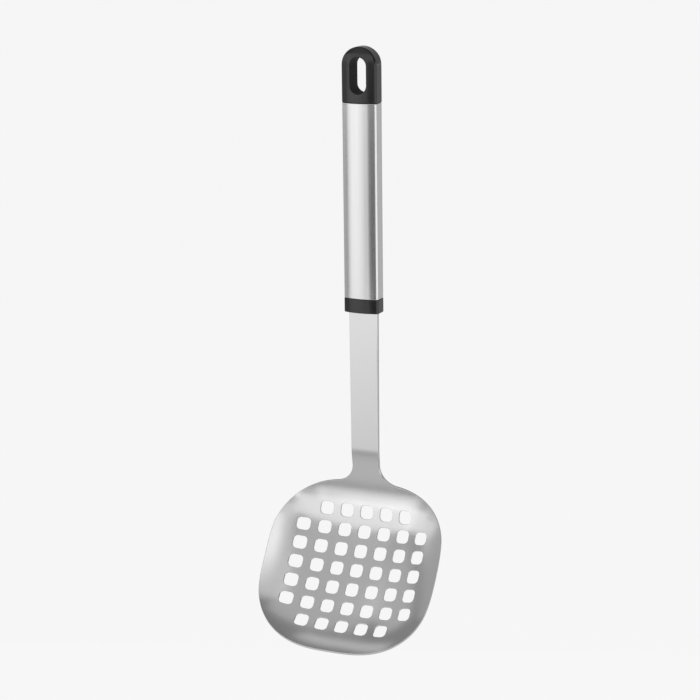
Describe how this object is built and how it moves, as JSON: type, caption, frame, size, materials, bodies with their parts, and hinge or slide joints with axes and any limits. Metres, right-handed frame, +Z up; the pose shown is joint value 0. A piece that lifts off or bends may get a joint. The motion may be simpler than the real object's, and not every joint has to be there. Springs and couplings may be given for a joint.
{
  "type": "skimmer",
  "caption": "Hand skimmer: a shallow perforated steel dish on a flat shank, tilted forward, with a steel tube handle, plastic collar and a slotted plastic cap to hang it by.",
  "frame": {"origin": "top of the hanging slot in the cap, on the handle's axis, where a hook bears", "axes": "+Z up the handle, +X across it, -Y the front, which the hollow side of the dish faces"},
  "size_m": [0.11, 0.0602, 0.3455],
  "materials": {
    "polished_steel": "satin polished stainless sheet",
    "brushed_steel": "brushed along the handle",
    "black_plastic": "semi-gloss moulded with a fine grain",
    "pin_steel": "plain, hidden inside the handle"
  },
  "bodies": {
    "root": {"skimmer_head": "polished_steel", "front_collar": "black_plastic", "handle_tube": "brushed_steel", "hanging_cap": "black_plastic", "tang_pin_lower": "pin_steel", "tang_pin_upper": "pin_steel"}
  },
  "joints": []
}
